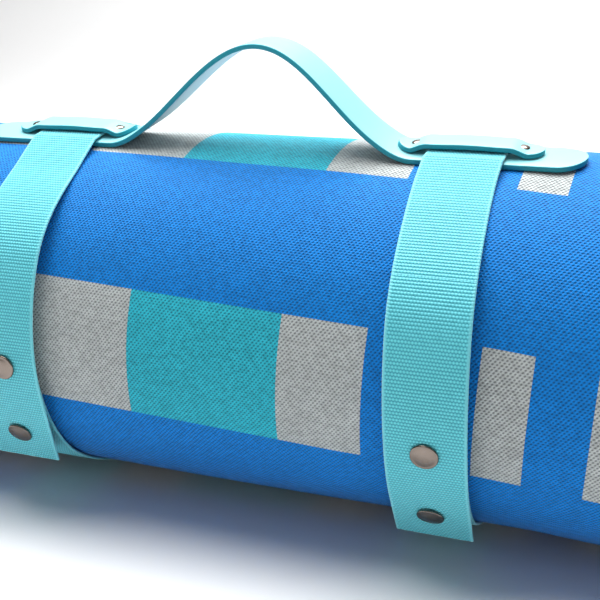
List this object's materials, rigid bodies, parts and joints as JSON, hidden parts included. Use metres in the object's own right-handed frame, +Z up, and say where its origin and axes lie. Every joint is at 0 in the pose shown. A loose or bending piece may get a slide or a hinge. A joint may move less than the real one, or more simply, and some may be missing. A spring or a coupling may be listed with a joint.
{
  "type": "rolled camp blanket in carry harness",
  "caption": "Padded camp blanket rolled up in a harness of webbing straps with snap flaps and an arched strip carry handle held by riveted keepers.",
  "frame": {"origin": "under the middle of the whole object, at its lowest point", "axes": "+X along the roll, -Y the front where the snaps are, +Z up"},
  "size_m": [0.5, 0.2018, 0.2464],
  "materials": {
    "cloth": "woven, blue with grey and turquoise blocks",
    "padding": "folded padded leaves",
    "backing": "coated cloth",
    "binding": "woven tape",
    "webbing": "ribbed webbing",
    "strip": "soft moulded strip, darker cut edges",
    "nickel": "dark polished nickel"
  },
  "bodies": {
    "rolled_blanket_and_harness": {"blanket_backing": "backing", "blanket_cloth": "cloth", "blanket_end_binding": "binding", "blanket_padding": "padding", "handle_tab_left": "strip", "handle_tab_right": "strip", "keeper_left": "strip", "keeper_right": "strip", "rivet_burr_left_inner": "nickel", "rivet_burr_left_outer": "nickel", "rivet_burr_right_inner": "nickel", "rivet_burr_right_outer": "nickel", "rivet_left_inner": "nickel", "rivet_left_outer": "nickel", "rivet_right_inner": "nickel", "rivet_right_outer": "nickel", "snap_eyelet_left_lower": "nickel", "snap_eyelet_left_upper": "nickel", "snap_eyelet_right_lower": "nickel", "snap_eyelet_right_upper": "nickel", "snap_stud_left_lower": "nickel", "snap_stud_left_upper": "nickel", "snap_stud_right_lower": "nickel", "snap_stud_right_upper": "nickel", "strap_left_loop": "webbing", "strap_right_loop": "webbing"},
    "left_strap_flap": {"snap_cap_left_lower": "nickel", "snap_cap_left_upper": "nickel", "snap_socket_left_lower": "nickel", "snap_socket_left_upper": "nickel", "strap_left_flap": "webbing"},
    "right_strap_flap": {"snap_cap_right_lower": "nickel", "snap_cap_right_upper": "nickel", "snap_socket_right_lower": "nickel", "snap_socket_right_upper": "nickel", "strap_right_flap": "webbing"},
    "handle_arch": {"handle_arch": "strip"}
  },
  "joints": [
    {"name": "left_flap_hinge", "type": "hinge", "parent": "rolled_blanket_and_harness", "child": "left_strap_flap", "pos_m": [-0.1065, -0.09202, 0.13703], "axis": [-1, 0, 0], "range_deg": [0, 100]},
    {"name": "right_flap_hinge", "type": "hinge", "parent": "rolled_blanket_and_harness", "child": "right_strap_flap", "pos_m": [0.1065, -0.09643, 0.12237], "axis": [-1, 0, 0], "range_deg": [0, 100]},
    {"name": "handle_sway", "type": "hinge", "parent": "rolled_blanket_and_harness", "child": "handle_arch", "pos_m": [0, -0.01447, 0.19719], "axis": [1, 0, 0], "range_deg": [-18, 18], "stiffness_Nm_per_rad": 0.4}
  ]
}
